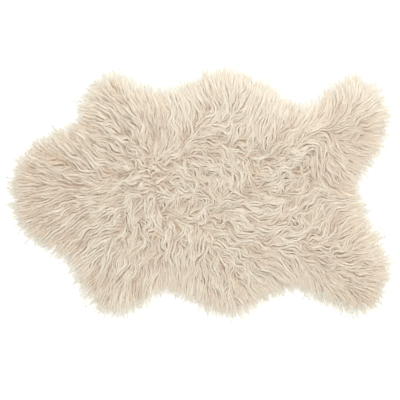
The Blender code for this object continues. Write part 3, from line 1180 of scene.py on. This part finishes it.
def zone_charts(places, depth):
    """How curly, crisp, light and tufted the wool is over the plan.

    It curls in the middle of the rug and hardly at its left end. Its lanes are crisp where it
    curls and in the left part, and soft on the lobe in the middle of the far side. It is lighter
    on the far side, which is painted light from the key lamp on that side, and darker at both
    ends, and its tufts stand out most where it curls, in height and in painted light and shade.
    """
    x, y = places[..., 0], places[..., 1]
    left = smooth(*LEFT, x)
    lobe = smooth(*FAR_LOBE.y, y) * smooth(*FAR_LOBE.x, x)
    curly = smooth(*CURLY, depth) * (END_CURLS + (1 - END_CURLS) * smooth(*MORE_CURLY, x))
    crisp = CRISP.plain + CRISP.curly * curly + CRISP.left * left - CRISP.lobe * lobe
    light = smooth(*FAR_SIDE, y) - DARKER_LEFT_END * smooth(*LEFT_END, x)
    light = light - DARKER_RIGHT_END * smooth(*RIGHT_END, x) + lobe + LIGHTER_CURLS * curly
    tufted = TUFTED.plain + TUFTED.curly * curly + TUFTED.left * left - TUFTED.lobe * lobe
    return curly, crisp, light, tufted


def build_rug():
    """Every piece of the rug."""
    random = np.random.default_rng(SEED)
    corners = fleece_corners()
    loop = cloth_edge(corners)
    places = chart_places()
    depth = depth_in(places.reshape(-1, 2), loop).reshape(places.shape[:2])
    points = corners.reshape(-1, 3)
    tips = np.unique(points[(points[:, 2] > TIP_BOTTOM) & (points[:, 2] < TIP_TOP)][:, :2], axis=0)
    curly, crisp, light, tufted = zone_charts(places, depth)
    hollow = hollow_chart(places)
    relief = cloud(random, TUFT_RELIEF_WAVE) * tufted
    height = np.maximum(blurred(height_chart(corners), HEIGHT_BLUR), RIM_HEIGHT * smooth(*RIM_RISE, depth))
    height -= HOLLOW_DROP * hollow
    height += TUFT_RELIEF * relief * smooth(0, TUFT_RELIEF_DEPTH, depth)
    chart = {
        "depth": depth,
        "height": height,
        "heading": heading_chart(places, depth, curly, random),
        "curly": curly,
        "crisp": crisp,
        "wisp": cloud(random, WISP_WAVE),
        # The tone is lighter on the tufts' crests and darker in their dips and in the hollows, as painted
        # light and shade, and lighter on the far side as painted light.
        "tone": cloud(random, TONE_WAVE) + relief - HOLLOW_PAINTED_SHADE * hollow + LIGHT_TONE * light,
        "reach": reach_chart(places, tips, depth_in(tips, loop)),
    }

    chart["lane"] = lane_chart(chart["heading"], random)
    tufts = tuft_paths(chart, random)
    group = strand_group()
    made = []
    for wool in WOOLS:
        piece = build_wool(wool, chart, tufts, random)
        piece.data.materials.append(wool_material(piece.name, group, OWN_COLOURS.get(wool.kind, {})))
        made.append(piece)

    def under_top(plan):
        inward = smooth(*UNDER_RISE, read(chart["depth"], plan))
        return UNDER_RIM + UNDER_SHARE * read(chart["height"], plan) * inward

    under_edge = inset_loop(loop, UNDER_INSET)
    under = slab("under_wool", under_edge, UNDER_PITCH, random, UNDER_BOTTOM, under_top)
    # The under-wool's darker colours are painted shade deep in the pile.
    under.data.materials.append(cloth_material("under_wool", UNDER_PAINTED_SHADE_COLOURS, UNDER_MOTTLE))
    made.append(under)

    def back_top(plan):
        return np.full(len(plan), BACKING_TOP)

    edge = inset_loop(loop, BACKING_INSET)
    back = slab("backing", edge, BACKING_PITCH, random, BACKING_BOTTOM, back_top)
    back.data.materials.append(cloth_material("backing", BACKING_COLOURS, BACKING_MOTTLE))
    for piece in made:
        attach(piece, "root")
        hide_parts("fleece")
    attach(back, "root")
    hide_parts("fleece")


def area_light(name, place, target, size, watts):
    """A soft square light at a place, aimed at a target."""
    data = bpy.data.lights.new(name, "AREA")
    data.size = size
    data.energy = watts
    light = placed(name, data)
    light.location = place
    aim = Vector(target) - Vector(place)
    light.rotation_euler = aim.to_track_quat("-Z", "Y").to_euler()


def build_studio():
    """Pale floor, soft light from above and the far side, and the camera straight overhead."""
    mesh = bpy.data.meshes.new("floor")
    half = FLOOR_HALF
    corners = [(-half, -half, 0), (half, -half, 0), (half, half, 0), (-half, half, 0)]
    mesh.from_pydata(corners, [], [(0, 1, 2, 3)])
    mesh.materials.append(finished_material("floor", FLOOR_FINISH)[0])
    placed("floor", mesh)

    world = bpy.data.worlds.new("studio")
    world.use_nodes = True
    world.node_tree.nodes["Background"].inputs[0].default_value = WHITE
    world.node_tree.nodes["Background"].inputs[1].default_value = SKY
    bpy.context.scene.world = world
    area_light("key", KEY_PLACE, (0, 0, 0), KEY_SIZE, KEY_WATTS)
    bpy.context.scene.view_settings.view_transform = "Standard"

    data = bpy.data.cameras.new("camera")
    camera = placed("camera", data)
    frame_width = PHOTO_PIXELS / RUG_PIXELS * RUG_LENGTH
    data.sensor_width = SENSOR
    data.lens = SENSOR * CAMERA_HEIGHT / frame_width
    pixel = frame_width / PHOTO_PIXELS
    camera.location = (AIM[0] * pixel, AIM[1] * pixel, CAMERA_HEIGHT)
    bpy.context.scene.camera = camera


build_rug()
build_studio()
